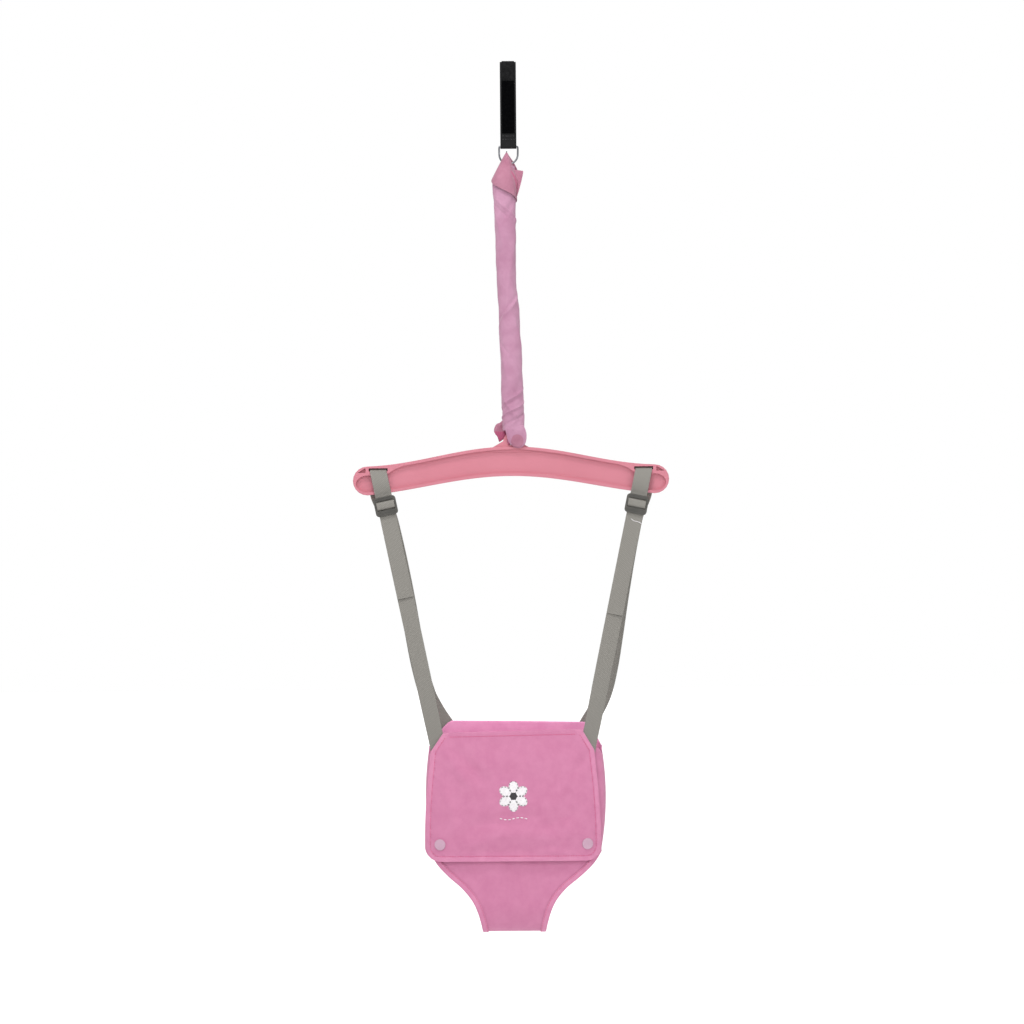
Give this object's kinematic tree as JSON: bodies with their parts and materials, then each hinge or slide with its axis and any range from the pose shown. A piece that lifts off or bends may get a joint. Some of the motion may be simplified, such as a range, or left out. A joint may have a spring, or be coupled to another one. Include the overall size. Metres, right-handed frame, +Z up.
{
  "type": "baby doorway jumper",
  "caption": "Doorway jumper: hanging strap, ring, spring in a fabric sleeve, moulded hanger bar, webbing with adjusters and a cloth seat with a snap front flap.",
  "frame": {"origin": "top of the hanging loop's hole, where the loop bears on what it hangs from, on the object's middle line", "axes": "+Z up along the spring, +X along the hanger bar to the right as seen from the front, -Y towards the front flap"},
  "size_m": [0.48, 0.0848, 1.3231],
  "materials": {
    "black_webbing": "woven",
    "fuzzy_tape": "brushed pile",
    "plating": "bright plated",
    "spring_steel": "drawn wire",
    "sleeve_cloth": "soft cotton",
    "hanger_plastic": "satin moulding",
    "grey_webbing": "woven",
    "slider_plastic": "satin moulding",
    "seat_cloth": "quilted cotton",
    "binding_cloth": "folded tape",
    "snap_plastic": "moulded"
  },
  "bodies": {
    "strap": {"hanging_strap": "black_webbing", "hook_patch": "fuzzy_tape", "pile_tape": "fuzzy_tape"},
    "ring": {"d_ring": "plating"},
    "safety": {"safety_strap": "grey_webbing"},
    "spring": {"bounce_spring": "spring_steel", "spring_sleeve": "sleeve_cloth", "sleeve_top_loop": "sleeve_cloth"},
    "lower_loop": {"sleeve_lower_loop": "sleeve_cloth"},
    "hanger": {"hanger_bar": "hanger_plastic"},
    "straps": {"slider_left": "slider_plastic", "slider_right": "slider_plastic", "front_strap_left": "grey_webbing", "front_strap_right": "grey_webbing", "adjuster_webbing_left": "grey_webbing", "adjuster_webbing_right": "grey_webbing"},
    "seat": {"seat_front": "seat_cloth", "seat_back": "seat_cloth", "leg_binding_left": "binding_cloth", "leg_binding_right": "binding_cloth", "snap_stud_left": "snap_plastic", "snap_stud_right": "snap_plastic", "snap_back_left": "snap_plastic", "snap_back_right": "snap_plastic"},
    "flap": {"front_flap": "seat_cloth", "snap_cap_left": "snap_plastic", "snap_cap_right": "snap_plastic", "snap_socket_left": "snap_plastic", "snap_socket_right": "snap_plastic"}
  },
  "joints": [
    {"name": "ring_swing", "type": "hinge", "parent": "strap", "child": "ring", "pos_m": [0, 0, -0.127], "axis": [1, 0, 0], "range_deg": [-45, 45]},
    {"name": "side_swing", "type": "hinge", "parent": "ring", "child": "safety", "pos_m": [0, 0, -0.13935], "axis": [0, 1, 0], "range_deg": [-20, 20]},
    {"name": "spring_turn", "type": "hinge", "parent": "safety", "child": "spring", "pos_m": [0, 0, -0.1534], "axis": [0, 0, 1], "range_deg": [-30, 30]},
    {"name": "bounce", "type": "slide", "parent": "spring", "child": "lower_loop", "axis": [0, 0, -1], "range_m": [0, 0.15], "stiffness_N_per_m": 1400, "springref_m": -0.02, "deforming": ["bounce_spring", "spring_sleeve", "safety_strap"]},
    {"name": "hanger_rock", "type": "hinge", "parent": "lower_loop", "child": "hanger", "pos_m": [0, 0, -0.574], "axis": [0, 1, 0], "range_deg": [-15, 15]},
    {"name": "seat_height", "type": "slide", "parent": "hanger", "child": "straps", "axis": [0, 0, -1], "range_m": [0, 0.06], "deforming": ["adjuster_webbing_left", "adjuster_webbing_right", "front_strap_left", "front_strap_right"]},
    {"name": "seat_rock", "type": "hinge", "parent": "straps", "child": "seat", "pos_m": [0, 0, -1.02], "axis": [1, 0, 0], "range_deg": [-12, 12]},
    {"name": "flap_open", "type": "hinge", "parent": "seat", "child": "flap", "pos_m": [0, -0.0383, -1.0185], "axis": [-1, 0, 0], "range_deg": [0, 120]}
  ]
}
